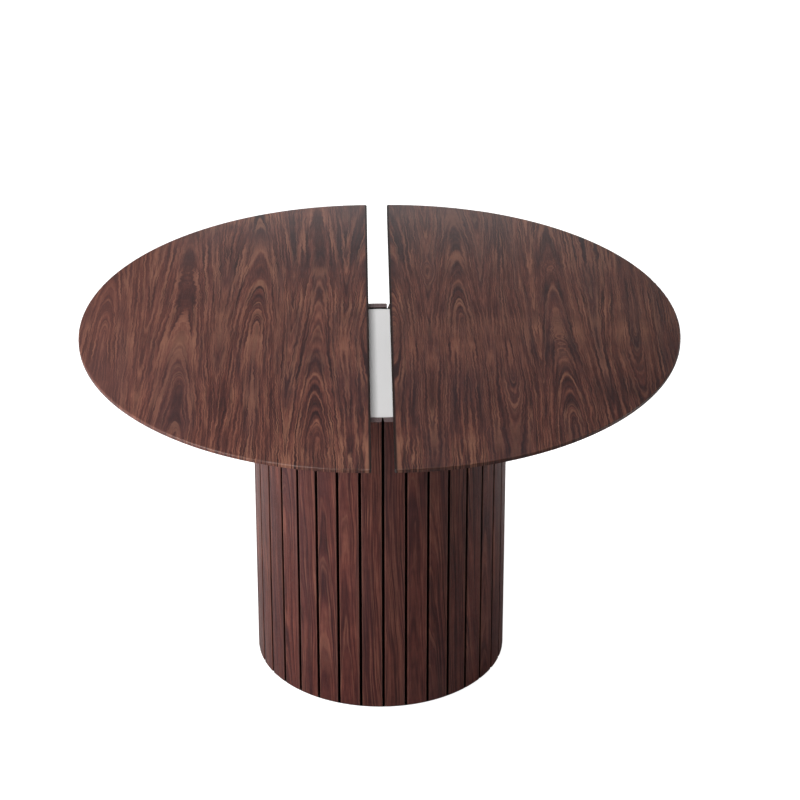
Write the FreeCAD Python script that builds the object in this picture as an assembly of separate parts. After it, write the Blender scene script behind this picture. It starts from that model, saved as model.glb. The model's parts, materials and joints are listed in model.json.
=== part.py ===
import FreeCAD, Part
import math
import os
from FreeCAD import Vector

# Round pedestal table with a split top.
#
# The top is two half-round boards that stand a little apart. Each half hangs on its own pair of
# telescopic runners and slides along X, in until the seam shuts and out until a leaf fits between.
# The runners stand on a drum of upright slats, closed on top by a white panel.
#
# Frame: origin on the floor under the middle of the drum, +Z up, the seam along Y, front at -Y.
# All sizes are in millimetres. The right half (+X) is built first and turned by 180 degrees about Z
# to make the left one, so both are the same part.

# ---- driving dimensions -------------------------------------------------------------------------

# Top boards
TABLE_HEIGHT = 770.0
TOP_RADIUS = 600.0
TOP_THICKNESS = 25.0
LIP_HEIGHT = 7.0            # upright part of the outer edge
BEVEL_RUN = 40.0            # how far in the bevel under the edge reaches
EDGE_ROUND = 2.0            # rounding of the upper outer edge
BAND_THICKNESS = 3.0        # dark lipping along each seam edge
BAND_CHAMFER = 1.0
CORNER_IN = 3.0             # small corner cut where the seam meets the outer edge
CORNER_ALONG = 6.0

# Travel of each half, measured as the gap between the two seam edges
GAP_AT_REST = 45.0
GAP_CLOSED = 0.4

# Drum of slats
DRUM_RADIUS = 266.5
SLIDE_SPACE = 55.0          # from the slat ends up to the underside of the top
SLAT_COUNT = 35
SLAT_TURN = 0.7             # degrees from the front middle line to the groove nearest it
SLAT_THICKNESS = 20.0
GROOVE_WIDTH = 5.0
SLAT_ROUND = 2.0
SLAT_END_CHAMFER = 0.8
SLAT_LIFT = 3.0             # the slats stop this far above the floor

# Inside the drum
GLUE_LINE = 0.2
LINING_THICKNESS = 3.0
PANEL_THICKNESS = 9.0
PANEL_DROP = 2.0            # the panel lies this far below the slat ends
RING_WIDTH = 36.0
RING_THICKNESS = 24.0
BASE_THICKNESS = 25.0
GLIDE_HEIGHT = 5.0
GLIDE_RADIUS = 14.0
GLIDE_COUNT = 6
GLIDE_CIRCLE = 215.0
GLIDE_CHAMFER = 1.0
BEAM_HEIGHT = 40.0
BEAM_WIDTH = 44.0
BEAM_HALF_LENGTH = 195.0

# Bearers on the drum, one pair for each half
BEARER_WIDTH = 25.0
BEARER_Y = 117.5            # middle of the bearer, front and back of the centre
BEARER_DROP = 10.0          # from the underside of the top down to the bearer
REBATE_START = 200.0        # outside this X the bearer lies on the slat ends

# Telescopic runners: three nested channels
RUNNER_LENGTH = 300.0
RUNNER_START = 28.0         # inner end of the fixed channel
RUNNER_DROP = 28.0          # from the underside of the top down to the channels' middle
CHANNEL_HEIGHTS = (35.0, 27.6, 20.2)
CHANNEL_SHEET = 1.5
RUNNER_DEPTH = 13.2         # bearer face to batten face
WEB_STEP = 3.2              # from one channel's web to the next one in
MOUTH_GAP = 1.2             # between the outer channels' mouths and the batten

# Battens under each half
BATTEN_WIDTH = 25.0
BATTEN_HEIGHT = 40.0
BATTEN_START = 34.0
BATTEN_LENGTH = 456.0

# Fasteners
BOLT_RADIUS = 4.0
BOLT_HEAD_RADIUS = 7.5
BOLT_HEAD_HEIGHT = 4.0
BOLT_X = (60.0, 180.0)
BOLT_BITE = 34.0            # length of bolt inside the cross beam
SCREW_RADIUS = 2.0
SCREW_HEAD_RADIUS = 4.2
SCREW_HEAD_HEIGHT = 3.0
SCREW_SEAT = 20.0           # depth of the counterbore under the batten
SCREW_BITE = 13.0           # length of screw inside the top board
SCREW_COUNT = 4
SCREW_END = 45.0            # first and last screw from the batten's ends
COUNTERBORE_RADIUS = 5.0
HOLE_CLEARANCE = 0.2
PILOT_CLEARANCE = 0.1

# ---- derived places -----------------------------------------------------------------------------

TOP_UNDERSIDE = TABLE_HEIGHT - TOP_THICKNESS
DRUM_TOP = TOP_UNDERSIDE - SLIDE_SPACE
BEARER_TOP = TOP_UNDERSIDE - BEARER_DROP
RUNNER_Z = TOP_UNDERSIDE - RUNNER_DROP
BATTEN_BOTTOM = TOP_UNDERSIDE - BATTEN_HEIGHT
CLOSING_TRAVEL = (GAP_AT_REST - GAP_CLOSED) / 2
SLAT_PITCH = 360.0 / SLAT_COUNT
SLAT_WIDTH = 2 * DRUM_RADIUS * math.sin(math.radians(SLAT_PITCH / 2)) - GROOVE_WIDTH
SLAT_BACK = DRUM_RADIUS - SLAT_THICKNESS
LINING_RADIUS = SLAT_BACK - GLUE_LINE
CORE_RADIUS = LINING_RADIUS - LINING_THICKNESS - GLUE_LINE
PANEL_TOP = DRUM_TOP - PANEL_DROP
PANEL_UNDERSIDE = PANEL_TOP - PANEL_THICKNESS
RING_UNDERSIDE = PANEL_UNDERSIDE - RING_THICKNESS
BASE_TOP = GLIDE_HEIGHT + BASE_THICKNESS
BEARER_FACE = BEARER_Y + BEARER_WIDTH / 2
BATTEN_FACE = BEARER_FACE + RUNNER_DEPTH
BATTEN_Y = BATTEN_FACE + BATTEN_WIDTH / 2

ORIGIN = Vector(0, 0, 0)
UP = Vector(0, 0, 1)
FAR = 1000.0                # larger than any part, for cutting boxes


# ---- small helpers ------------------------------------------------------------------------------

def block(x_range, y_range, z_range):
    """A box between two values on each axis."""
    corner = Vector(x_range[0], y_range[0], z_range[0])
    size = [high - low for low, high in (x_range, y_range, z_range)]
    return Part.makeBox(size[0], size[1], size[2], corner)


def disc(radius, bottom, top, x=0.0, y=0.0):
    """An upright cylinder."""
    return Part.makeCylinder(radius, top - bottom, Vector(x, y, bottom), UP)


def ring(outer, inner, bottom, top):
    """An upright tube."""
    return disc(outer, bottom, top).cut(disc(inner, bottom, top))


def turned(shape, degrees):
    """A copy turned about the table's upright axis."""
    copy = shape.copy()
    copy.rotate(ORIGIN, UP, degrees)
    return copy


def moved_x(shape, distance):
    """A copy moved along X."""
    copy = shape.copy()
    copy.translate(Vector(distance, 0, 0))
    return copy


def front_and_back(shape):
    """The shape and its mirror image across the XZ plane."""
    return [shape, shape.mirror(ORIGIN, Vector(0, 1, 0))]


def save(name, shapes):
    """One STEP file: a single solid, or a group of separate solids."""
    shape = shapes if isinstance(shapes, Part.Shape) else Part.makeCompound(shapes)
    if not shape.isValid():
        raise ValueError(name + " is not a valid shape")
    shape.exportStep("parts/" + name + ".step")


# ---- drum ---------------------------------------------------------------------------------------

def slat():
    """One slat lying on +X: flat back and sides, face curved to the drum, outer edges rounded."""
    half = SLAT_WIDTH / 2
    face_x = math.sqrt(DRUM_RADIUS ** 2 - half ** 2)
    corners = [Vector(face_x, half, SLAT_LIFT), Vector(SLAT_BACK, half, SLAT_LIFT),
               Vector(SLAT_BACK, -half, SLAT_LIFT), Vector(face_x, -half, SLAT_LIFT)]
    face_arc = Part.Arc(corners[3], Vector(DRUM_RADIUS, 0, SLAT_LIFT), corners[0]).toShape()
    sides = [Part.makeLine(corners[i], corners[i + 1]) for i in range(3)]
    body = Part.Face(Part.Wire(sides + [face_arc])).extrude(UP * (DRUM_TOP - SLAT_LIFT))

    uprights = [edge for edge in body.Edges
                if edge.BoundBox.ZLength > 1 and edge.BoundBox.XMin > SLAT_BACK + 1]
    body = body.makeFillet(SLAT_ROUND, uprights)
    ends = [edge for edge in body.Edges
            if edge.BoundBox.ZLength < 0.01 and edge.BoundBox.XMax > SLAT_BACK + 1]
    return body.makeChamfer(SLAT_END_CHAMFER, ends)


def lining():
    """Thin black tube behind the slats. It closes the grooves and frames the panel."""
    return ring(LINING_RADIUS, LINING_RADIUS - LINING_THICKNESS, GLIDE_HEIGHT, PANEL_TOP)


def core_ring(bottom):
    """One of the board rings that keep the drum round."""
    return ring(CORE_RADIUS, CORE_RADIUS - RING_WIDTH, bottom, bottom + RING_THICKNESS)


def bolt_places():
    """X and Y of every bolt that holds a bearer down."""
    return [(side * x, end * BEARER_Y) for side in (1, -1) for x in BOLT_X for end in (1, -1)]


def drilled(shape, bottom, top, clearance=HOLE_CLEARANCE):
    """The shape with the bearer bolts' holes in it."""
    holes = [disc(BOLT_RADIUS + clearance, bottom, top, x, y) for x, y in bolt_places()]
    return shape.cut(Part.makeCompound(holes))


def cover_panel():
    return drilled(disc(CORE_RADIUS, PANEL_UNDERSIDE, PANEL_TOP), PANEL_UNDERSIDE, PANEL_TOP)


def upper_ring():
    return drilled(core_ring(RING_UNDERSIDE), RING_UNDERSIDE, PANEL_UNDERSIDE)


def cross_beam():
    """The beam at the back. It carries the ring's underside and takes the bearer bolts."""
    low = RING_UNDERSIDE - BEAM_HEIGHT
    beam = block((-BEAM_HALF_LENGTH, BEAM_HALF_LENGTH),
                 (BEARER_Y - BEAM_WIDTH / 2, BEARER_Y + BEAM_WIDTH / 2), (low, RING_UNDERSIDE))
    return drilled(beam, RING_UNDERSIDE - BOLT_BITE, RING_UNDERSIDE, PILOT_CLEARANCE)


def glide(angle):
    """A round foot under the base plate."""
    x = GLIDE_CIRCLE * math.cos(math.radians(angle))
    y = GLIDE_CIRCLE * math.sin(math.radians(angle))
    foot = disc(GLIDE_RADIUS, 0, GLIDE_HEIGHT, x, y)
    lower_edge = [edge for edge in foot.Edges if edge.BoundBox.ZMax < 0.01]
    return foot.makeChamfer(GLIDE_CHAMFER, lower_edge)


# ---- slide of one half: built for +X, at the rest gap --------------------------------------------

def bearer():
    """The rail at the back that stands on the panel and on the slat ends."""
    y_range = (BEARER_Y - BEARER_WIDTH / 2, BEARER_FACE)
    x_end = RUNNER_START + RUNNER_LENGTH
    body = block((RUNNER_START, x_end), y_range, (PANEL_TOP, BEARER_TOP))
    rebate = block((REBATE_START, x_end), y_range, (PANEL_TOP, DRUM_TOP))
    return drilled(body.cut(rebate), PANEL_TOP, BEARER_TOP)


def channel(height, web_y, open_y, shift):
    """A steel channel along X, with its web at web_y and its mouth at open_y."""
    toward_mouth = 1 if open_y > web_y else -1
    x_range = (RUNNER_START + shift, RUNNER_START + shift + RUNNER_LENGTH)
    outside = block(x_range, sorted((web_y, open_y)), (RUNNER_Z - height / 2, RUNNER_Z + height / 2))
    hollow_y = sorted((web_y + toward_mouth * CHANNEL_SHEET, open_y + toward_mouth * FAR))
    hollow_z = height / 2 - CHANNEL_SHEET
    hollow = block((-FAR, FAR), hollow_y, (RUNNER_Z - hollow_z, RUNNER_Z + hollow_z))
    return outside.cut(hollow)


def runner_channels():
    """The back runner's fixed, middle and moving channels, nested mouth to mouth."""
    mouth = BATTEN_FACE - MOUTH_GAP
    fixed = channel(CHANNEL_HEIGHTS[0], BEARER_FACE, mouth, 0)
    middle = channel(CHANNEL_HEIGHTS[1], BEARER_FACE + WEB_STEP, mouth, CLOSING_TRAVEL / 2)
    moving = channel(CHANNEL_HEIGHTS[2], BATTEN_FACE, BEARER_FACE + 2 * WEB_STEP, CLOSING_TRAVEL)
    return fixed, middle, moving


def bearer_bolt(x, y):
    """A round-headed bolt down through bearer and panel into the cross beam."""
    shank = disc(BOLT_RADIUS, RING_UNDERSIDE - BOLT_BITE, BEARER_TOP, x, y)
    head = disc(BOLT_HEAD_RADIUS, BEARER_TOP, BEARER_TOP + BOLT_HEAD_HEIGHT, x, y)
    return shank.fuse(head).removeSplitter()


def screw_places():
    """X and Y of the screws up through the right half's two battens."""
    first = BATTEN_START + SCREW_END
    step = (BATTEN_LENGTH - 2 * SCREW_END) / (SCREW_COUNT - 1)
    return [(first + i * step, end * BATTEN_Y) for i in range(SCREW_COUNT) for end in (1, -1)]


def batten_screw(x, y):
    """A pan-head screw up through a batten into the board."""
    seat = BATTEN_BOTTOM + SCREW_SEAT
    shank = disc(SCREW_RADIUS, seat, TOP_UNDERSIDE + SCREW_BITE, x, y)
    head = disc(SCREW_HEAD_RADIUS, seat - SCREW_HEAD_HEIGHT, seat, x, y)
    return shank.fuse(head).removeSplitter()


def battens():
    """The right half's two battens, counterbored for their screws."""
    body = block((BATTEN_START, BATTEN_START + BATTEN_LENGTH),
                 (BATTEN_FACE, BATTEN_FACE + BATTEN_WIDTH), (BATTEN_BOTTOM, TOP_UNDERSIDE))
    seat = BATTEN_BOTTOM + SCREW_SEAT
    holes = []
    for x, y in screw_places():
        holes.append(disc(SCREW_RADIUS + HOLE_CLEARANCE, seat, TOP_UNDERSIDE, x, y))
        holes.append(disc(COUNTERBORE_RADIUS, BATTEN_BOTTOM, seat, x, y))
    return [batten.cut(Part.makeCompound(holes)) for batten in front_and_back(body)]


# ---- top board ----------------------------------------------------------------------------------

def whole_disc():
    """The full round top: flat, with a short upright lip and a long bevel under it."""
    lip_bottom = TABLE_HEIGHT - LIP_HEIGHT
    round_middle = EDGE_ROUND * (1 - math.sqrt(0.5))
    inner_low = Vector(0, 0, TOP_UNDERSIDE)
    bevel_in = Vector(TOP_RADIUS - BEVEL_RUN, 0, TOP_UNDERSIDE)
    bevel_out = Vector(TOP_RADIUS, 0, lip_bottom)
    round_low = Vector(TOP_RADIUS, 0, TABLE_HEIGHT - EDGE_ROUND)
    round_mid = Vector(TOP_RADIUS - round_middle, 0, TABLE_HEIGHT - round_middle)
    round_high = Vector(TOP_RADIUS - EDGE_ROUND, 0, TABLE_HEIGHT)
    inner_high = Vector(0, 0, TABLE_HEIGHT)
    outline = [Part.makeLine(inner_low, bevel_in), Part.makeLine(bevel_in, bevel_out),
               Part.makeLine(bevel_out, round_low), Part.Arc(round_low, round_mid, round_high).toShape(),
               Part.makeLine(round_high, inner_high), Part.makeLine(inner_high, inner_low)]
    return Part.Face(Part.Wire(outline)).revolve(ORIGIN, UP, 360)


def corner_wedge():
    """Cuts the sharp corner at the back end of the seam edge."""
    slope = CORNER_ALONG / CORNER_IN
    start_y = TOP_RADIUS - CORNER_ALONG
    reach = 3 * CORNER_IN
    corners = [Vector(-reach, start_y - slope * reach, 0), Vector(reach, start_y + slope * reach, 0),
               Vector(-reach, start_y + slope * reach, 0)]
    outline = Part.makePolygon(corners + corners[:1])
    return Part.Face(outline).extrude(UP * FAR)


def half_top():
    """The right half's board and its seam lipping, with the seam edge on X = 0."""
    half = whole_disc().common(block((0, FAR), (-FAR, FAR), (0, FAR)))
    half = half.cut(Part.makeCompound(front_and_back(corner_wedge())))
    band = half.common(block((0, BAND_THICKNESS), (-FAR, FAR), (0, FAR))).removeSplitter()
    board = half.common(block((BAND_THICKNESS, FAR), (-FAR, FAR), (0, FAR))).removeSplitter()
    arris = [edge for edge in band.Edges
             if edge.BoundBox.XMax < 0.01 and edge.BoundBox.ZMin > TABLE_HEIGHT - 0.01]
    return board.Solids[0], band.Solids[0].makeChamfer(BAND_CHAMFER, arris)


def board_with_pilots(board):
    """The board with blind pilot holes for the batten screws."""
    top = TOP_UNDERSIDE + SCREW_BITE
    holes = [disc(SCREW_RADIUS + PILOT_CLEARANCE, TOP_UNDERSIDE, top, x, y) for x, y in screw_places()]
    return board.cut(Part.makeCompound(holes))


# ---- assembly -----------------------------------------------------------------------------------

def make_drum():
    first = slat()
    for i in range(SLAT_COUNT):
        # A groove, not a slat, lies near the front middle line, so the first slat is half a pitch on.
        angle = -90 + SLAT_TURN + (i + 0.5) * SLAT_PITCH
        save("slat_%02d" % (i + 1), turned(first, angle))
    save("lining", lining())
    save("lower_ring", core_ring(BASE_TOP))
    save("middle_ring", core_ring((BASE_TOP + RING_UNDERSIDE) / 2))
    save("upper_ring", upper_ring())
    save("base_plate", disc(CORE_RADIUS, GLIDE_HEIGHT, BASE_TOP))
    save("cover_panel", cover_panel())
    save("cross_beams", front_and_back(cross_beam()))
    save("floor_glides", [glide(i * 360 / GLIDE_COUNT) for i in range(GLIDE_COUNT)])
    save("bearer_bolts", [bearer_bolt(x, y) for x, y in bolt_places()])


def right_side():
    """Every node of the right half's slide and top, by its name without the side."""
    fixed, middle, moving = runner_channels()
    board, band = half_top()
    seam_x = GAP_AT_REST / 2
    return {
        "bearers": front_and_back(bearer()),
        "fixed_rails": front_and_back(fixed),
        "middle_rails": front_and_back(middle),
        "moving_rails": front_and_back(moving),
        "battens": battens(),
        "batten_screws": [batten_screw(x, y) for x, y in screw_places()],
        "top": [board_with_pilots(moved_x(board, seam_x))],
        "seam_band": [moved_x(band, seam_x)],
    }


def make_sides():
    for name, shapes in right_side().items():
        save("right_" + name, shapes)
        save("left_" + name, [turned(shape, 180) for shape in shapes])


def main():
    os.makedirs("parts", exist_ok=True)
    make_drum()
    make_sides()


main()
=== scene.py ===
import json
import math

import bmesh
import bpy
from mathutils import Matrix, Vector


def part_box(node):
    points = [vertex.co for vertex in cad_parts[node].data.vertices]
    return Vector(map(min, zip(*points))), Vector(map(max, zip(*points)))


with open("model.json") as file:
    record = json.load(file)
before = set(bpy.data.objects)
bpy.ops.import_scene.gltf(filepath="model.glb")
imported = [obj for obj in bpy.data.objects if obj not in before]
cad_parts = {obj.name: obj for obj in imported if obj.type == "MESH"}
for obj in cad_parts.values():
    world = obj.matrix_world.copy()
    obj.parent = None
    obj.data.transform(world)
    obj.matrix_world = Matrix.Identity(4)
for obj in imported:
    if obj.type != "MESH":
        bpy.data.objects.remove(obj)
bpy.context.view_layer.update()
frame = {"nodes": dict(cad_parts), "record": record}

# ---- sizes from the frame, metres ---------------------------------------------------------------

nodes = frame["nodes"]
SLATS = sorted(name for name in nodes if name.startswith("slat_"))
SIDES = {"left": -1, "right": 1}

top_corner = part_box("right_top")[1]
TABLE_HEIGHT = top_corner.z
TOP_RADIUS = top_corner.y
HALF_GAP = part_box("right_seam_band")[0].x
DRUM_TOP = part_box("slat_01")[1].z
DRUM_RADIUS = max(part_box(name)[1].x for name in SLATS)
PANEL_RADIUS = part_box("cover_panel")[1].x
SLAT_PITCH = 2 * math.pi / len(SLATS)


# ---- shader graph helper ------------------------------------------------------------------------

class Graph:
    """A node material built from short calls. They return output sockets, and finish the material."""

    def __init__(self, name):
        self.material = bpy.data.materials.new(name)
        self.material.use_nodes = True
        self.tree = self.material.node_tree
        self.tree.nodes.clear()
        self.coordinates = self.tree.nodes.new("ShaderNodeTexCoord").outputs["Object"]

    def add(self, kind, inputs, **settings):
        """A node of that kind, with sockets linked or numbers set on its inputs. Its first output."""
        node = self.tree.nodes.new(kind)
        for key, value in settings.items():
            setattr(node, key, value)
        for key, value in inputs.items():
            if isinstance(value, bpy.types.NodeSocket):
                self.tree.links.new(value, node.inputs[key])
            else:
                node.inputs[key].default_value = value
        return node.outputs[0]

    def math(self, operation, a, b=0.0, c=0.0):
        return self.add("ShaderNodeMath", {0: a, 1: b, 2: c}, operation=operation)

    def sum(self, *terms):
        total = terms[0]
        for term in terms[1:]:
            total = self.math("ADD", total, term)
        return total

    def times(self, a, b):
        return self.math("MULTIPLY", a, b)

    def minus(self, a, b):
        return self.math("SUBTRACT", a, b)

    def length(self, a, b):
        """The length of a vector from its two sides."""
        return self.math("SQRT", self.sum(self.times(a, a), self.times(b, b)))

    def split(self):
        """X, Y and Z of the point at rest, in metres."""
        node = self.tree.nodes.new("ShaderNodeSeparateXYZ")
        self.tree.links.new(self.coordinates, node.inputs[0])
        return node.outputs[0], node.outputs[1], node.outputs[2]

    def vector(self, x, y, z):
        return self.add("ShaderNodeCombineXYZ", {0: x, 1: y, 2: z})

    def stretch(self, x, y, z, x_rate, y_rate, z_rate=1.0):
        """A vector of x, y and z, each times its rate."""
        third = z if z_rate == 1.0 else self.times(z, z_rate)
        return self.vector(self.times(x, x_rate), self.times(y, y_rate), third)

    def noise(self, vector, scale, detail, roughness):
        """Fractal noise from 0 to 1, about 0.5."""
        return self.add("ShaderNodeTexNoise", {"Vector": vector, "Scale": scale, "Detail": detail,
                                               "Roughness": roughness})

    def ridge(self, value, level, half_width):
        """1 where the value is at the level, falling to 0 at half_width to either side."""
        distance = self.math("ABSOLUTE", self.minus(value, level))
        return self.range(distance, 0.0, half_width, 1.0, 0.0, smooth=True)

    def centred(self, value, size):
        """A 0 to 1 value as a swing of plus or minus half of size."""
        return self.times(self.minus(value, 0.5), size)

    def range(self, value, low, high, to_low=0.0, to_high=1.0, smooth=False):
        """The value's stretch from low to high, mapped to to_low and to_high and held outside it."""
        kind = "SMOOTHSTEP" if smooth else "LINEAR"
        return self.add("ShaderNodeMapRange", {0: value, 1: low, 2: high, 3: to_low, 4: to_high},
                        interpolation_type=kind, clamp=True)

    def ramp(self, value, stops):
        """The colour at the value, between stops of a place from 0 to 1 and a colour."""
        node = self.tree.nodes.new("ShaderNodeValToRGB")
        self.tree.links.new(value, node.inputs[0])
        elements = node.color_ramp.elements
        while len(elements) < len(stops):
            elements.new(0.5)
        for element, (place, colour) in zip(elements, stops):
            element.position = place
            element.color = (*colour, 1)
        return node.outputs[0]

    def mix(self, share, a, b, blend="MIX"):
        """Colour a with the given share of colour b."""
        node = self.tree.nodes.new("ShaderNodeMix")
        node.data_type = "RGBA"
        node.blend_type = blend
        for index, value in ((0, share), (6, a), (7, b)):
            if isinstance(value, bpy.types.NodeSocket):
                self.tree.links.new(value, node.inputs[index])
            elif index == 0:
                node.inputs[0].default_value = value
            else:
                node.inputs[index].default_value = (*value, 1)
        return node.outputs[2]

    def brightness(self, colour, factor):
        """The colour times a grey value."""
        return self.mix(1.0, colour, self.vector(factor, factor, factor), "MULTIPLY")

    def bump(self, height, distance):
        """The surface's normal over a relief that is distance metres deep."""
        return self.add("ShaderNodeBump", {"Height": height, "Distance": distance})

    def finish(self, colour, roughness, normal=None, **constants):
        """Closes the graph with a Principled shader. Plain numbers go straight on its sockets."""
        inputs = {"Base Color": colour, "Roughness": roughness}
        if normal is not None:
            inputs["Normal"] = normal
        inputs.update({key.replace("_", " "): value for key, value in constants.items()})
        shader = self.add("ShaderNodeBsdfPrincipled", inputs)
        output = self.tree.nodes.new("ShaderNodeOutputMaterial")
        self.tree.links.new(shader, output.inputs["Surface"])
        return self.material


# ---- walnut -------------------------------------------------------------------------------------

WALNUT_BANDS = [
    (0.20, (0.026, 0.009, 0.010)),
    (0.40, (0.066, 0.021, 0.018)),
    (0.50, (0.096, 0.031, 0.024)),
    (0.60, (0.132, 0.044, 0.032)),
    (0.82, (0.230, 0.092, 0.060)),
]
LIGHT_LINE = (0.290, 0.128, 0.080)
DARK_LINE = (0.016, 0.006, 0.007)
PURPLE_STREAK = (0.070, 0.036, 0.042)
OPEN_PORE = (0.026, 0.013, 0.013)

# How much each part of the figure moves or covers the colour.
BAND_SHARE = 0.20
FINE_SHARE = 1.50
FIBRE_SHARE = 0.55
LIGHT_SHARE = 0.74
DARK_SHARE = 0.82
PURPLE_SHARE = 0.75
PORE_SHARE = 0.40

# Noise waves to a metre, over the ring value or over the grain, and with the grain.
BAND_RATES = (60, 1.5)
TOP_LINE_RATE = 230
SLAT_LINE_RATE = 300
LINE_RATE_ALONG = 1.8
FINE_RATES = (480, 4.5)
FIBRE_RATES = (640, 26)
PORE_RATES = (1900, 90)
TONE_RATES = (22, 1.3)
FADE_RATES = (40, 6)
MOTTLE_RATE = 26

# Noise values at which the thin light and dark growth lines run, and their half width.
LIGHT_LEVEL = 0.50
DARK_LEVEL = 0.585
LINE_HALF_WIDTH = 0.050


def walnut(graph, across, along, ring_value, seed, line_rate, contrast=1.0):
    """Colour, roughness and height of oiled walnut.

    across and along are metres over and with the grain. ring_value, in metres too, is the same all
    along one growth line, so noise laid out over it draws streaks that follow the figure.
    """
    band = graph.noise(graph.stretch(ring_value, along, seed, *BAND_RATES), 1, 3, 0.6)
    line = graph.noise(graph.stretch(ring_value, along, seed, line_rate, LINE_RATE_ALONG), 1, 2, 0.5)
    fine = graph.noise(graph.stretch(ring_value, along, seed, *FINE_RATES), 1, 2, 0.6)
    fibre = graph.noise(graph.stretch(across, along, seed, *FIBRE_RATES), 1, 2, 0.6)
    pore = graph.noise(graph.stretch(across, along, seed, *PORE_RATES), 1, 1, 0.5)
    tone = graph.noise(graph.stretch(ring_value, along, seed, *TONE_RATES), 1, 3, 0.6)
    mottle = graph.noise(graph.vector(across, along, seed), MOTTLE_RATE, 4, 0.75)
    fade = graph.noise(graph.stretch(ring_value, along, seed, *FADE_RATES), 1, 2, 0.5)

    shade = graph.sum(
        0.5,
        graph.centred(band, BAND_SHARE * contrast),
        graph.centred(fine, FINE_SHARE * contrast),
        graph.centred(fibre, FIBRE_SHARE * contrast),
    )
    colour = graph.ramp(shade, WALNUT_BANDS)
    strength = graph.range(fade, 0.35, 0.65, 0.15, 1.0)
    light = graph.times(graph.ridge(line, LIGHT_LEVEL, LINE_HALF_WIDTH), strength)
    dark = graph.times(graph.ridge(line, DARK_LEVEL, LINE_HALF_WIDTH), strength)
    colour = graph.mix(graph.times(light, LIGHT_SHARE * contrast), colour, LIGHT_LINE)
    colour = graph.mix(graph.times(dark, DARK_SHARE * contrast), colour, DARK_LINE)
    purple = graph.range(tone, 0.42, 0.64, 0.0, PURPLE_SHARE, smooth=True)
    purple_colour = graph.brightness(graph.mix(0.40, colour, PURPLE_STREAK), 0.80)
    colour = graph.mix(purple, colour, purple_colour)
    colour = graph.brightness(colour, graph.range(mottle, 0.25, 0.75, 0.84, 1.16))
    open_pore = graph.range(pore, 0.60, 0.72, 0.0, 1.0, smooth=True)
    colour = graph.mix(graph.times(open_pore, PORE_SHARE), colour, OPEN_PORE)

    roughness = graph.minus(graph.range(fibre, 0.3, 0.7, 0.40, 0.30), graph.times(line, 0.04))
    height = graph.minus(graph.times(fibre, 0.5), graph.times(open_pore, 0.8))
    return colour, roughness, height


# ---- the two halves of the top ------------------------------------------------------------------

# Flames of the top's figure: nested arches about a line along the grain. In metres: x of the line, y of
# the innermost arch, and the way the next ones lie along Y: 1 to the back, -1 to the front, 0 to both.
FLAMES = [
    (-0.540, -0.020, 1),
    (-0.375, -0.460, 1),
    (-0.235, 0.000, 1),
    (-0.100, -0.500, 1),
    (0.008, -0.030, 0),
    (0.148, 0.020, 1),
    (0.238, -0.200, -1),
    (0.355, -0.430, 1),
    (0.505, -0.030, -1),
]
FLAME_RISE = 0.17
FLAME_DEPTH = 0.036
FLAME_BLEND = 0.012

# Eyes: x, y, half width, half length and depth, in metres.
EYES = [(-0.375, -0.260, 0.014, 0.060, -0.005), (0.078, 0.255, 0.013, 0.040, 0.008)]

# Curly patches: x, y, half width and half length, in metres.
CURLS = [(-0.375, 0.150, 0.036, 0.150), (0.355, -0.060, 0.034, 0.110), (0.355, 0.270, 0.030, 0.060)]
CURL_SIZE = 0.0035

# The ring value's rise for each metre: away from a flame's line, over the grain and with the grain.
SLOPE = 0.58
TILT = 0.12
LEAN = 0.012

# How far the growth lines stray over the grain: slowly, in waves, and in small kinks. In metres.
WANDER_SIZE = 0.05
RIPPLE_SIZE = 0.015
JAG_SIZE = 0.009

# Brightness over the sheet: a factor for each half, the right half darker, and between two places in X a
# painted sheen, paler and calmer, towards the left rim and painted shade towards the right one.
HALF_BRIGHTNESS = {"left": 0.92, "right": 0.80}
LEFT_SHEEN_COLOUR = (0.162, 0.074, 0.062)
LEFT_SHEEN_SHARE = 0.32
LEFT_SHEEN_SPAN = (-0.55, -0.28)
LEFT_LIGHT_SPAN = (-0.55, -0.30)
LEFT_LIGHT = 1.10
RIGHT_SHADE_SPAN = (0.32, 0.55)
RIGHT_SHADE = 0.85

# The rim, worn and painted with a highlight, the dark line beside the seam, and the finish. Widths and
# depths are in metres.
WORN_EDGE_AND_HIGHLIGHT = (0.30, 0.17, 0.12)
WORN_AND_HIGHLIGHT_SHARE = 0.12
RIM_WIDTH = 0.0045
RIM_DEPTH = 0.004
RIM_MARGIN = 0.0005
STAIN_WIDTH = 0.004
STAIN_FADE = 0.002
STAIN_SHARE = 0.85
TOP_BUMP = 0.00012
TOP_GLOSS = 0.22
TOP_SEED = 3.0


def bell(graph, value, middle, half_width):
    """The square of the distance from middle in half widths, for a bell-shaped fall."""
    share = graph.math("DIVIDE", graph.minus(value, middle), half_width)
    return graph.times(share, share)


def patch(graph, across, along, place, size):
    """1 in the middle of a bell-shaped patch, falling to 0 around it."""
    spread = graph.sum(bell(graph, across, place[0], size[0]), bell(graph, along, place[1], size[1]))
    return graph.math("EXPONENT", graph.times(spread, -1.0))


def flame_distance(graph, across, along, flame_x, tip, way):
    """The distance from a flame's line, which lies deeper the further it is past the tip."""
    reach = graph.minus(along, tip)
    if way:
        reach = graph.math("MAXIMUM", graph.times(reach, float(way)), 0.0)
    else:
        reach = graph.math("ABSOLUTE", reach)
    decay = graph.math("EXPONENT", graph.times(reach, -FLAME_RISE / FLAME_DEPTH))
    depth = graph.math("MULTIPLY_ADD", decay, -FLAME_DEPTH, FLAME_DEPTH)
    return graph.length(graph.minus(across, flame_x), depth)


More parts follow.
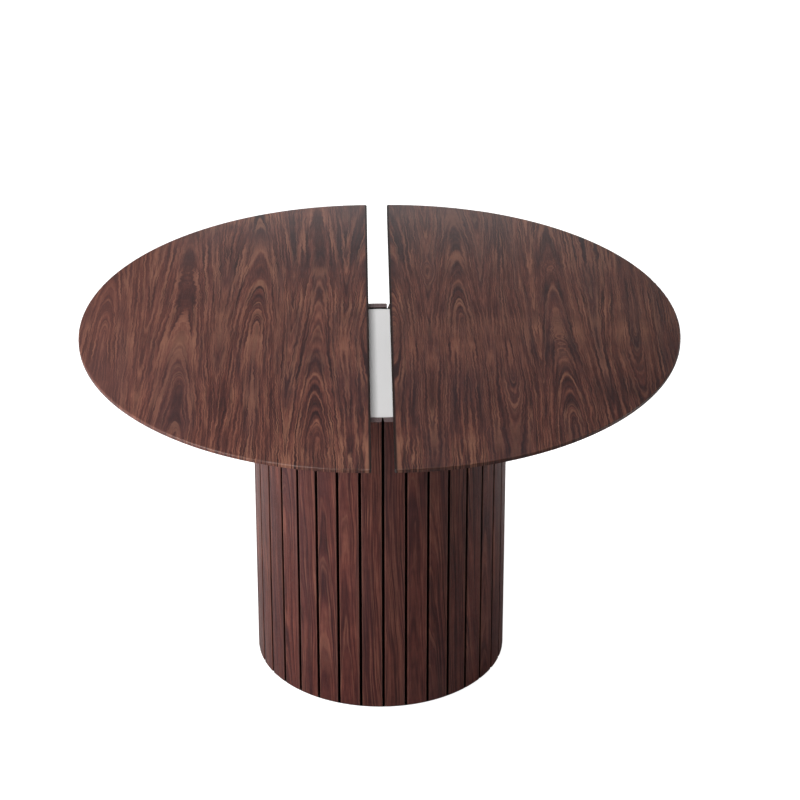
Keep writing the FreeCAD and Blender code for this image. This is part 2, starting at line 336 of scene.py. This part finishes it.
def top_figure(graph, x, y):
    """The ring value over the whole top: flames, a slope across the grain, eyes, curls and wander."""
    wander = graph.noise(graph.stretch(x, y, 4.0, 3.2, 1.0), 1, 1, 0.5)
    ripple = graph.noise(graph.stretch(x, y, 9.0, 16, 3.5), 1, 2, 0.5)
    curl = graph.noise(graph.stretch(x, y, 2.0, 36, 75), 1, 1, 0.5)
    jag = graph.noise(graph.stretch(x, y, 6.0, 60, 38), 1, 3, 0.6)
    across = graph.sum(
        x,
        graph.centred(wander, WANDER_SIZE),
        graph.centred(ripple, RIPPLE_SIZE),
        graph.centred(jag, JAG_SIZE),
    )
    nearest = None
    for flame_x, tip, way in FLAMES:
        distance = flame_distance(graph, across, y, flame_x, tip, way)
        if nearest is None:
            nearest = distance
        else:
            nearest = graph.math("SMOOTH_MIN", nearest, distance, FLAME_BLEND)
    value = graph.sum(graph.times(nearest, SLOPE), graph.times(across, TILT), graph.times(y, LEAN))
    for eye_x, eye_y, half_width, half_length, depth in EYES:
        eye = patch(graph, across, y, (eye_x, eye_y), (half_width, half_length))
        value = graph.math("MULTIPLY_ADD", eye, depth, value)
    for curl_x, curl_y, half_width, half_length in CURLS:
        curly = patch(graph, across, y, (curl_x, curl_y), (half_width, half_length))
        value = graph.math("MULTIPLY_ADD", curly, graph.centred(curl, CURL_SIZE), value)
    return value


def top_material(side):
    """One sheet of figure runs over both halves and meets at the seam when it is shut."""
    graph = Graph("walnut_top_" + side)
    x, y, z = graph.split()
    x = graph.minus(x, SIDES[side] * HALF_GAP)
    colour, roughness, height = walnut(graph, x, y, top_figure(graph, x, y), TOP_SEED, TOP_LINE_RATE)

    radius = graph.length(x, y)
    # The upper rim is lightened: wear and a painted highlight.
    upper = graph.range(z, TABLE_HEIGHT - RIM_DEPTH, TABLE_HEIGHT - RIM_MARGIN)
    rim = graph.range(radius, TOP_RADIUS - RIM_WIDTH, TOP_RADIUS - RIM_MARGIN, smooth=True)
    colour = graph.mix(graph.times(graph.times(rim, upper), WORN_AND_HIGHLIGHT_SHARE), colour, WORN_EDGE_AND_HIGHLIGHT)

    # Painted sheen turns the sheet paler and calmer towards the left rim, and painted shade makes it darker
    # towards the right one.
    painted_sheen = graph.range(x, *LEFT_SHEEN_SPAN, LEFT_SHEEN_SHARE, 0.0)
    colour = graph.mix(painted_sheen, colour, LEFT_SHEEN_COLOUR)
    painted_left_light = graph.range(x, *LEFT_LIGHT_SPAN, LEFT_LIGHT, 1.0)
    painted_right_shade = graph.range(x, *RIGHT_SHADE_SPAN, 1.0, RIGHT_SHADE)
    # Each half is also multiplied by its own brightness, the right half darker.
    colour = graph.brightness(colour, graph.times(graph.times(painted_left_light, painted_right_shade), HALF_BRIGHTNESS[side]))

    from_seam = graph.math("ABSOLUTE", x)
    stain = graph.range(from_seam, STAIN_WIDTH, STAIN_WIDTH + STAIN_FADE, STAIN_SHARE, 0.0, smooth=True)
    colour = graph.mix(stain, colour, DARK_LINE)
    return graph.finish(colour, roughness, graph.bump(height, TOP_BUMP), Specular_IOR_Level=TOP_GLOSS)


# ---- the slats ----------------------------------------------------------------------------------

SLAT_TINT = (0.93, 0.82, 0.87)
SLAT_CONTRAST = 0.70
SLAT_BUMP = 0.00015
SLAT_GLOSS = 0.15
SLAT_WANDER = 0.022
SLAT_RIPPLE = 0.005
SLAT_DRIFT = 0.02
GROOVE_SHADE = (0.004, 0.003, 0.003)
ARRIS_WEAR_AND_HIGHLIGHT = (0.26, 0.145, 0.10)
ARRIS_WEAR_AND_HIGHLIGHT_SHARE = 0.25

# Metres in from the drum's face, in from the slat's edge, and down from the slat's end.
GROOVE_DEPTHS = (0.006, 0.0015)
ARRIS_INSET = 0.0026
ARRIS_HALF_WIDTH = 0.0012
EDGE_SHADE_INSETS = (0.0016, 0.0004)
END_DEPTHS = (0.0006, 0.0002)
END_GRAIN = [(0.3, (0.090, 0.060, 0.060)), (0.7, (0.24, 0.175, 0.175))]
END_GRAIN_RATE = 300
EDGE_SHARE = 0.96


def slat_angles(above=-1.0):
    """The angles round Z of the first slat's mesh points that lie above the given height."""
    points = [vertex.co for vertex in nodes[SLATS[0]].data.vertices]
    return [math.atan2(point.y, point.x) for point in points if point.z > above]


def groove_angle():
    """The angle of the middle of the groove before the first slat."""
    angles = slat_angles()
    middle = (min(angles) + max(angles)) / 2
    return middle - SLAT_PITCH / 2


def slat_edge_distance():
    """How far from its middle line a slat's edge, where its painted shade lies, is counted from.

    The widest angle of the slat is at its inner corners, so at the drum's face this lies about half a
    millimetre past the face's own edge.
    """
    angles = slat_angles(0.1)
    return math.sin((max(angles) - min(angles)) / 2) * DRUM_RADIUS * EDGE_SHARE


def slat_material():
    """Upright grain. Each slat gets its own figure and tone from its place round the drum."""
    graph = Graph("walnut_slats")
    x, y, z = graph.split()
    edge_distance = slat_edge_distance()
    turn = graph.math("DIVIDE", graph.minus(graph.math("ARCTAN2", y, x), groove_angle()), SLAT_PITCH)
    index = graph.math("FLOOR", turn)
    across = graph.centred(graph.minus(turn, index), SLAT_PITCH * DRUM_RADIUS)
    wrapped = graph.math("WRAP", index, 0.0, float(len(SLATS)))
    chance = graph.add("ShaderNodeTexWhiteNoise", {"W": graph.sum(wrapped, 0.5)}, noise_dimensions="1D")
    seed = graph.times(chance, 40)

    wander = graph.noise(graph.stretch(across, z, seed, 7, 1.6), 1, 2, 0.5)
    ripple = graph.noise(graph.stretch(across, z, seed, 40, 7), 1, 2, 0.5)
    off_centre = graph.minus(across, graph.centred(chance, 0.03))
    flame = graph.times(graph.times(off_centre, off_centre), graph.range(chance, 0.4, 0.9, 0.0, 12.0))
    ring_value = graph.sum(
        graph.times(z, SLAT_DRIFT),
        graph.times(across, SLOPE),
        flame,
        graph.centred(wander, SLAT_WANDER),
        graph.centred(ripple, SLAT_RIPPLE),
        seed,
    )
    colour, roughness, height = walnut(graph, across, z, ring_value, seed, SLAT_LINE_RATE, SLAT_CONTRAST)
    colour = graph.mix(1.0, colour, SLAT_TINT, "MULTIPLY")
    colour = graph.brightness(colour, graph.range(chance, 0, 1, 0.88, 1.08))

    # Inside the grooves the sides are painted near black as shade, and the arris beside them is a little
    # worn and painted with a highlight.
    groove_side_shade = graph.range(graph.length(x, y), DRUM_RADIUS - GROOVE_DEPTHS[0],
                         DRUM_RADIUS - GROOVE_DEPTHS[1], 0.95, 0.0, smooth=True)
    colour = graph.mix(groove_side_shade, colour, GROOVE_SHADE)
    from_middle = graph.math("ABSOLUTE", across)
    # The arris is lightened: a little wear and a painted highlight.
    arris_wear_and_highlight = graph.ridge(from_middle, edge_distance - ARRIS_INSET, ARRIS_HALF_WIDTH)
    colour = graph.mix(graph.times(arris_wear_and_highlight, ARRIS_WEAR_AND_HIGHLIGHT_SHARE), colour, ARRIS_WEAR_AND_HIGHLIGHT)
    # Near the slat's edge the face turns near black: painted shade where it rounds into the groove.
    edge_shade = graph.range(from_middle, edge_distance - EDGE_SHADE_INSETS[0],
                             edge_distance - EDGE_SHADE_INSETS[1], 0.0, 0.85)
    colour = graph.mix(edge_shade, colour, GROOVE_SHADE)

    end_grain = graph.noise(graph.stretch(x, y, seed, END_GRAIN_RATE, END_GRAIN_RATE), 1, 3, 0.7)
    on_end = graph.range(z, DRUM_TOP - END_DEPTHS[0], DRUM_TOP - END_DEPTHS[1])
    colour = graph.mix(on_end, colour, graph.ramp(end_grain, END_GRAIN))
    return graph.finish(colour, roughness, graph.bump(height, SLAT_BUMP), Specular_IOR_Level=SLAT_GLOSS)


# ---- the other materials ------------------------------------------------------------------------

LIPPING = [(0.3, (0.006, 0.003, 0.003)), (0.7, (0.022, 0.011, 0.009))]
PANEL_WHITE = [(0.3, (0.95, 0.945, 0.945)), (0.7, (0.98, 0.975, 0.975))]
PANEL_DUST = (0.62, 0.60, 0.58)
PANEL_DUST_SHARE = 0.25
PANEL_DUST_WIDTH = 0.012
LINING = [(0.3, (0.0015, 0.0012, 0.0012)), (0.7, (0.006, 0.005, 0.005))]
FIBREBOARD = [(0.3, (0.24, 0.155, 0.09)), (0.5, (0.36, 0.25, 0.155)), (0.7, (0.47, 0.35, 0.23))]
GLIDE_PLASTIC = [(0.3, (0.012, 0.012, 0.012)), (0.7, (0.035, 0.034, 0.033))]
BEECH = [(0.30, (0.36, 0.215, 0.115)), (0.50, (0.50, 0.32, 0.185)), (0.70, (0.60, 0.41, 0.25))]
STAINED = [(0.30, (0.016, 0.009, 0.008)), (0.50, (0.034, 0.019, 0.016)), (0.70, (0.060, 0.034, 0.027))]
RAIL_STEEL = [(0.3, (0.42, 0.43, 0.44)), (0.7, (0.62, 0.63, 0.64))]
ZINC_STEEL = [(0.3, (0.50, 0.50, 0.50)), (0.7, (0.72, 0.72, 0.71))]


def lipping_material():
    """Near-black edge banding, with its grain along Y."""
    graph = Graph("dark_lipping")
    x, y, z = graph.split()
    fibre = graph.noise(graph.stretch(x, y, z, 300, 14, 300), 1, 3, 0.6)
    colour = graph.ramp(fibre, LIPPING)
    roughness = graph.range(fibre, 0.3, 0.7, 0.55, 0.45)
    return graph.finish(colour, roughness, graph.bump(fibre, 0.0001), Specular_IOR_Level=0.12)


def panel_material():
    """Satin white board with faint roller texture and a little dust towards the edge."""
    graph = Graph("white_panel")
    x, y, z = graph.split()
    peel = graph.noise(graph.coordinates, 420, 2, 0.5)
    cloud = graph.noise(graph.coordinates, 7, 3, 0.55)
    dust = graph.range(graph.length(x, y), PANEL_RADIUS - PANEL_DUST_WIDTH, PANEL_RADIUS,
                       0.0, PANEL_DUST_SHARE, smooth=True)
    colour = graph.mix(dust, graph.ramp(cloud, PANEL_WHITE), PANEL_DUST)
    roughness = graph.range(cloud, 0.3, 0.7, 0.38, 0.46)
    return graph.finish(colour, roughness, graph.bump(peel, 0.00006), Specular_IOR_Level=0.5)


def lining_material():
    """Matt black sheet with a fine weave."""
    graph = Graph("black_lining")
    weave = graph.noise(graph.coordinates, 900, 2, 0.6)
    roughness = graph.range(weave, 0.3, 0.7, 0.85, 0.95)
    return graph.finish(graph.ramp(weave, LINING), roughness, graph.bump(weave, 0.0001),
                        Specular_IOR_Level=0.15)


def board_material():
    """Raw fibreboard."""
    graph = Graph("core_board")
    flecks = graph.noise(graph.coordinates, 700, 3, 0.7)
    cloud = graph.noise(graph.coordinates, 12, 2, 0.5)
    colour = graph.ramp(graph.sum(flecks, graph.centred(cloud, 0.3)), FIBREBOARD)
    return graph.finish(colour, graph.range(flecks, 0.3, 0.7, 0.75, 0.9), graph.bump(flecks, 0.0002))


def straight_wood(name, stops):
    """Planed wood with its grain along X."""
    graph = Graph(name)
    x, y, z = graph.split()
    rings = graph.noise(graph.stretch(x, y, z, 2.2, 60, 60), 1, 4, 0.6)
    fibre = graph.noise(graph.stretch(x, y, z, 25, 900, 900), 1, 2, 0.6)
    colour = graph.ramp(graph.sum(rings, graph.centred(fibre, 0.35)), stops)
    roughness = graph.range(fibre, 0.3, 0.7, 0.48, 0.62)
    return graph.finish(colour, roughness, graph.bump(fibre, 0.00015), Specular_IOR_Level=0.35)


def steel_material(name, stops, roughness):
    """Plated steel with fine drawing lines along X and faint spangle."""
    graph = Graph(name)
    x, y, z = graph.split()
    lines = graph.noise(graph.stretch(x, y, z, 12, 1500, 1500), 1, 2, 0.5)
    spangle = graph.noise(graph.coordinates, 160, 2, 0.6)
    colour = graph.ramp(graph.sum(lines, graph.centred(spangle, 0.5)), stops)
    rough = graph.range(spangle, 0.3, 0.7, roughness - 0.06, roughness + 0.08)
    return graph.finish(colour, rough, graph.bump(lines, 0.00005), Metallic=1.0)


def glide_material():
    """Moulded black plastic."""
    graph = Graph("glide_plastic")
    grain = graph.noise(graph.coordinates, 1200, 2, 0.6)
    roughness = graph.range(grain, 0.3, 0.7, 0.5, 0.65)
    return graph.finish(graph.ramp(grain, GLIDE_PLASTIC), roughness, graph.bump(grain, 0.00008))


def paint():
    """Gives every CAD node the material of its slot."""
    by_slot = {
        "walnut_slats": slat_material(),
        "dark_lipping": lipping_material(),
        "white_panel": panel_material(),
        "black_lining": lining_material(),
        "core_board": board_material(),
        "plain_beech": straight_wood("plain_beech", BEECH),
        "stained_beech": straight_wood("stained_beech", STAINED),
        "rail_steel": steel_material("rail_steel", RAIL_STEEL, 0.32),
        "zinc_steel": steel_material("zinc_steel", ZINC_STEEL, 0.26),
        "glide_plastic": glide_material(),
    }
    for part in frame["record"]["subparts"]:
        obj = nodes[part["node"]]
        if part["material_slot"] == "walnut_top":
            material = top_material(part["node"].split("_")[0])
        else:
            material = by_slot[part["material_slot"]]
        obj.data.materials.clear()
        obj.data.materials.append(material)


# ---- studio -------------------------------------------------------------------------------------

# The camera that was fitted to the photo. Places are in metres, and the lens is in millimetres.
CAMERA_DISTANCE = 6.569
CAMERA_ELEVATION = math.radians(28.44)
CAMERA_YAW = math.radians(0.964)
CAMERA_TARGET = Vector((0.0421, 0.0, 0.596))
CAMERA_LENS = 140.74
CAMERA_SENSOR = 36.0
CAMERA_FAR = 100

STAGE_STEPS = 96
INNER_RADIUS = 1.0
STAGE_RADIUS = 20.0
WALL_HEIGHT = 7.0
CARD_RADIUS = 8.0
CARD_HEIGHT = -0.004
FLOOR_GREY = 0.60
FLOOR_GLOW = 0.97
CARD_GREY = 0.70
WORLD_STRENGTH = 0.12

# How far inside the drum's foot the floor turns black with a painted shadow, in metres.
FOOT_SHADE = 0.003

# Softboxes: name, place, the point it faces, width, length and power in watts.
SOFTBOXES = [
    ("key", (-2.35, -1.35, 1.5), (0, 0, 0.5), 1.2, 1.2, 90),
    ("right_fill", (2.3, -0.2, 0.45), (0, 0, 0.35), 0.9, 0.6, 9),
    ("overhead", (-0.3, 0, 3.6), (-0.3, 0, 0), 0.7, 3.0, 66),
    ("back", (0.4, 1.0, 0.89), (0.4, 0, 0.89), 1.8, 0.2, 1.5),
]


def make_camera():
    data = bpy.data.cameras.new("camera")
    data.lens = CAMERA_LENS
    data.sensor_width = CAMERA_SENSOR
    data.dof.use_dof = False
    data.clip_end = CAMERA_FAR
    camera = bpy.data.objects.new("camera", data)
    level = math.cos(CAMERA_ELEVATION)
    forward = Vector((math.sin(CAMERA_YAW) * level, math.cos(CAMERA_YAW) * level,
                      -math.sin(CAMERA_ELEVATION)))
    camera.location = CAMERA_TARGET - forward * CAMERA_DISTANCE
    camera.rotation_mode = "QUATERNION"
    camera.rotation_quaternion = forward.to_track_quat("-Z", "Y")
    bpy.context.scene.collection.objects.link(camera)
    bpy.context.scene.camera = camera


def softbox(name, place, aim, width, length, power):
    """A rectangular area light at place, turned towards aim."""
    data = bpy.data.lights.new(name, "AREA")
    data.shape = "RECTANGLE"
    data.size = width
    data.size_y = length
    data.energy = power
    lamp = bpy.data.objects.new(name, data)
    lamp.location = place
    lamp.visible_camera = False
    lamp.rotation_mode = "QUATERNION"
    lamp.rotation_quaternion = (Vector(aim) - Vector(place)).to_track_quat("-Z", "Y")
    bpy.context.scene.collection.objects.link(lamp)


def stage_material(name, grey, glow, shaded_radius=0.0):
    """Matt grey paint with faint clouds, lit by glow from within, and a painted black shadow inside
    shaded_radius.
    """
    graph = Graph(name)
    x, y, z = graph.split()
    lit = graph.range(graph.length(x, y), shaded_radius - 0.002, shaded_radius)
    cloud = graph.noise(graph.coordinates, 1.5, 2, 0.5)
    lighter = grey + 0.02
    colour = graph.ramp(cloud, [(0.3, (grey, grey, grey)), (0.7, (lighter, lighter, lighter))])
    return graph.finish(graph.brightness(colour, lit), graph.range(cloud, 0.3, 0.7, 0.9, 0.95),
                        Specular_IOR_Level=0.0, Emission_Color=(1, 1, 1, 1),
                        Emission_Strength=graph.times(lit, glow))


def stage_ring(name, rings, material):
    """A surface of rings about the Z axis, each a radius and a height. The first one is filled."""
    mesh = bpy.data.meshes.new(name)
    shape = bmesh.new()
    angles = [2 * math.pi * step / STAGE_STEPS for step in range(STAGE_STEPS)]
    loops = []
    for radius, height in rings:
        loops.append([shape.verts.new((radius * math.cos(a), radius * math.sin(a), height)) for a in angles])
    shape.faces.new(loops[0])
    for inner, outer in zip(loops, loops[1:]):
        for step in range(STAGE_STEPS):
            after = (step + 1) % STAGE_STEPS
            shape.faces.new((inner[step], outer[step], outer[after], inner[after]))
    shape.to_mesh(mesh)
    shape.free()
    mesh.materials.append(material)
    stage = bpy.data.objects.new(name, mesh)
    bpy.context.scene.collection.objects.link(stage)
    return stage


def make_stage():
    """A white floor that turns up into a low wall far out, and a grey bounce card just under it.

    Only the camera sees the floor. The camera doesn't see the card, which bounces light up to the table.
    """
    floor_rings = [(INNER_RADIUS, 0.0), (STAGE_RADIUS, 0.0), (STAGE_RADIUS, WALL_HEIGHT)]
    floor_paint = stage_material("white_floor", FLOOR_GREY, FLOOR_GLOW, DRUM_RADIUS - FOOT_SHADE)
    floor = stage_ring("floor", floor_rings, floor_paint)
    floor.visible_diffuse = False
    floor.visible_glossy = False
    floor.visible_shadow = False
    card_rings = [(INNER_RADIUS, CARD_HEIGHT), (CARD_RADIUS, CARD_HEIGHT)]
    card = stage_ring("bounce_card", card_rings, stage_material("grey_card", CARD_GREY, 0.0))
    card.visible_camera = False


def make_world():
    world = bpy.data.worlds.new("studio")
    world.use_nodes = True
    background = world.node_tree.nodes["Background"]
    background.inputs["Color"].default_value = (1, 1, 1, 1)
    background.inputs["Strength"].default_value = WORLD_STRENGTH
    bpy.context.scene.world = world


def make_studio():
    make_world()
    bpy.context.scene.view_settings.view_transform = "Standard"
    for name, place, aim, width, length, power in SOFTBOXES:
        softbox(name, place, aim, width, length, power)
    make_stage()


# ---- scene --------------------------------------------------------------------------------------

paint()
make_camera()
make_studio()
